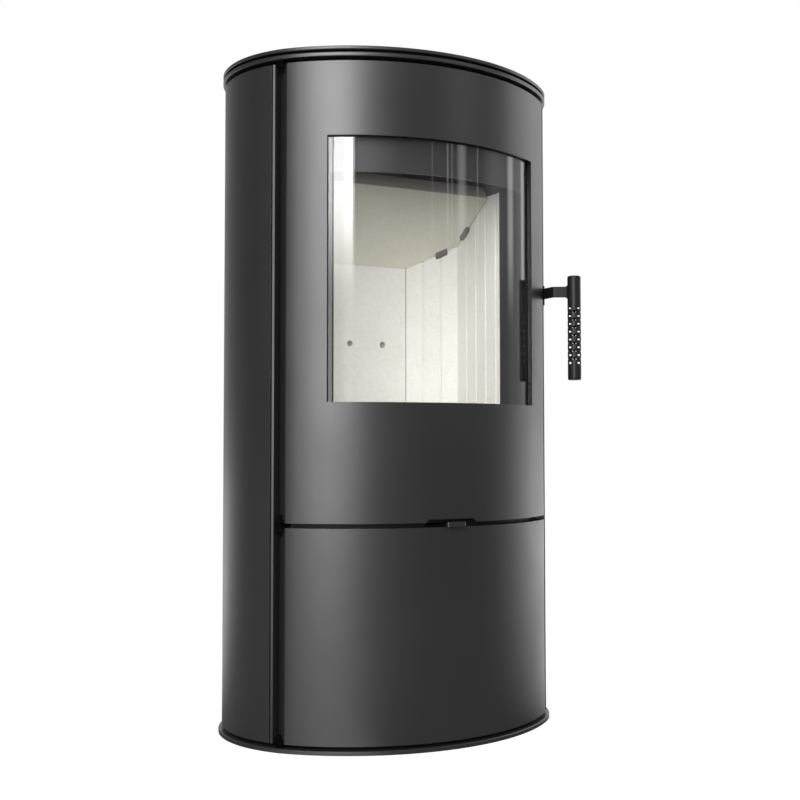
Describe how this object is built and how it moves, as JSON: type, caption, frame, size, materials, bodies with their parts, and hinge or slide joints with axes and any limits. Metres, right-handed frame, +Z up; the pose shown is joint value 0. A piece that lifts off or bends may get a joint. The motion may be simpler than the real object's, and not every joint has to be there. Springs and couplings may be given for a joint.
{
  "type": "freestanding wood stove",
  "caption": "Slim oval steel wood stove with a curved glass door, a bar handle on a swinging arm, a plain lower door and a fluted firebrick hearth.",
  "frame": {"origin": "centre of the oval foot plate, on the floor", "axes": "+Z up, the door faces -Y, +X to the right of someone who stands in front of the door"},
  "size_m": [0.54, 0.4431, 1.035],
  "materials": {
    "body_paint": "satin anthracite heat-proof paint",
    "black_steel": "matt black heat-proof paint",
    "bare_steel": "plain steel",
    "cast_iron": "raw casting",
    "lining_board": "pressed mineral board",
    "stove_glass": "clear ceramic glass",
    "rope_seal": "braided glass fibre"
  },
  "bodies": {
    "casing": {"air_deck": "black_steel", "air_duct": "black_steel", "air_spigot": "black_steel", "air_wash_plate": "black_steel", "ash_deck": "black_steel", "ash_pan": "bare_steel", "back_panel": "body_paint", "back_screws": "bare_steel", "baffle_board": "lining_board", "baffle_hooks": "bare_steel", "base_plate": "body_paint", "collar_plate": "body_paint", "corner_post_left": "body_paint", "corner_post_right": "body_paint", "firebox_back": "black_steel", "firebox_roof": "black_steel", "firebox_side_left": "black_steel", "firebox_side_right": "black_steel", "flue_spigot": "body_paint", "front_frame": "black_steel", "grate": "cast_iron", "hearth_plate": "black_steel", "hinge_brackets": "black_steel", "latch_keeper": "bare_steel", "levelling_screws": "bare_steel", "lining_back": "lining_board", "lining_corner_left": "lining_board", "lining_corner_right": "lining_board", "lining_floor": "lining_board", "lining_side_left": "lining_board", "lining_side_right": "lining_board", "log_guard": "black_steel", "magnet_catch": "bare_steel", "plinth_ring": "black_steel", "side_panel_left": "body_paint", "side_panel_right": "body_paint", "slider_rails": "black_steel", "store_floor": "black_steel", "top_deck": "black_steel", "top_plate": "body_paint", "top_riser": "black_steel", "top_spacer": "black_steel"},
    "door": {"door_skin": "body_paint", "door_glass": "stove_glass", "glass_gasket": "rope_seal", "glass_clips": "bare_steel", "clip_screws": "bare_steel", "seal_channel": "black_steel", "door_rope": "rope_seal", "door_hinge_tabs": "black_steel", "handle_lugs": "black_steel", "handle_pin": "bare_steel"},
    "handle": {"handle_arm": "black_steel", "handle_tube": "black_steel", "handle_caps": "black_steel"},
    "lower_door": {"lower_door_skin": "body_paint", "lower_door_stiffeners": "black_steel", "lower_hinge_tabs": "black_steel", "catch_plate": "bare_steel"},
    "air_control": {"air_slider": "bare_steel"}
  },
  "joints": [
    {"name": "door_hinge", "type": "hinge", "parent": "casing", "child": "door", "pos_m": [-0.225, -0.1, 0.65], "axis": [0, 0, -1], "range_deg": [0, 110]},
    {"name": "handle_swing", "type": "hinge", "parent": "door", "child": "handle", "pos_m": [0.2269, -0.0995, 0.6705], "axis": [0, 0, 1], "range_deg": [0, 25]},
    {"name": "lower_door_hinge", "type": "hinge", "parent": "casing", "child": "lower_door", "pos_m": [-0.225, -0.1, 0.16], "axis": [0, 0, -1], "range_deg": [0, 110]},
    {"name": "air_slide", "type": "slide", "parent": "casing", "child": "air_control", "axis": [1, 0, 0], "range_m": [-0.028, 0.02]}
  ]
}
